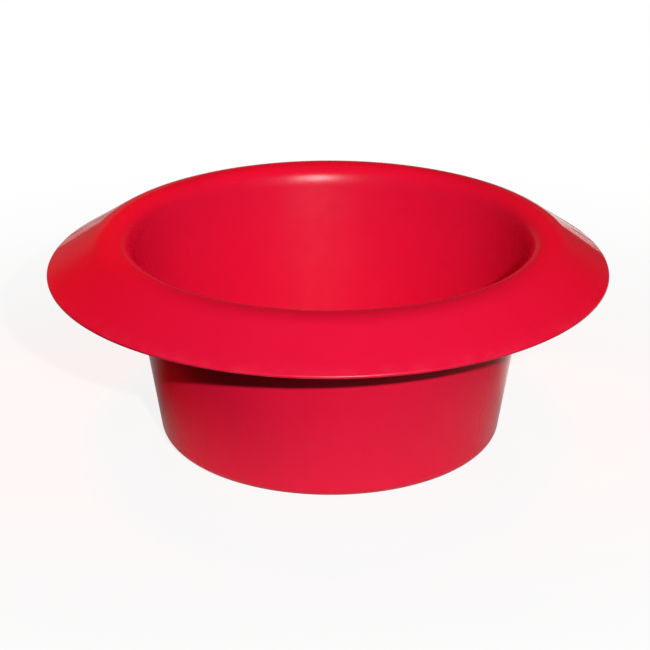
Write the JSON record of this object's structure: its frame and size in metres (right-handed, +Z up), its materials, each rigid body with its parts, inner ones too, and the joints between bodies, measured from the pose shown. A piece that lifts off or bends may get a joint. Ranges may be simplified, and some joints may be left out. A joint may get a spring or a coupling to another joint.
{
  "type": "feed tub",
  "caption": "Round red feed tub with a tapered wall, a rolled mouth and a wide brim sloping down to a rounded lip, to stand on its flat base or to drop into the hole of a tyre.",
  "frame": {"origin": "centre of the base, on the ground", "axes": "+Z up along the axis of the tub; X and Y level, with -Y towards the camera of the picture"},
  "size_m": [0.56, 0.5598, 0.212],
  "materials": {
    "red_polyethylene": "smooth moulded gloss"
  },
  "bodies": {
    "root": {"tub": "red_polyethylene"}
  },
  "joints": []
}
